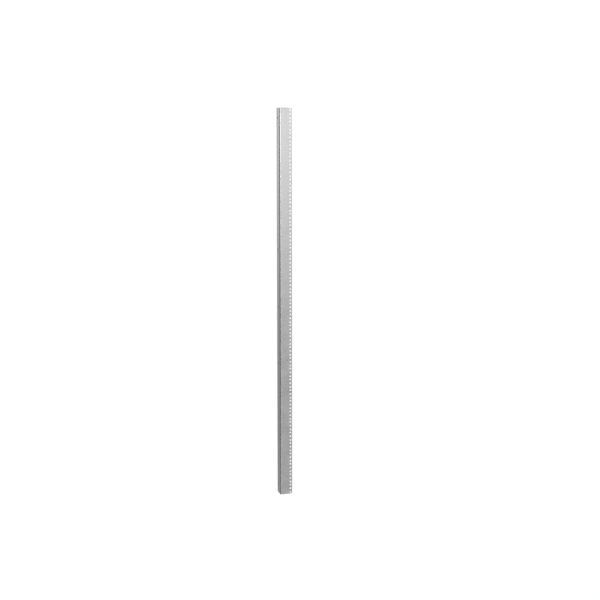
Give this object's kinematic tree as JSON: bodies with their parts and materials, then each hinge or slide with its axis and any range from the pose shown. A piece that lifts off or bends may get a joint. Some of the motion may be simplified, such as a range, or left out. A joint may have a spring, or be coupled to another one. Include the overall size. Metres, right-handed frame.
{
  "type": "rack mounting angle",
  "caption": "Long folded steel channel whose front flange has a row of round rack-spaced holes for 19-inch panels and whose side web has fixing holes.",
  "frame": {"origin": "centre of the angle's footprint, on the plane of its rear face", "axes": "+X across the front flange from the web to the free edge, +Y along the angle from its foot to its head, +Z out of the front face"},
  "size_m": [0.05, 1.5558, 0.045],
  "materials": {
    "zinc_plated_steel": "zinc plated, satin"
  },
  "bodies": {
    "root": {"mounting_angle": "zinc_plated_steel"}
  },
  "joints": []
}
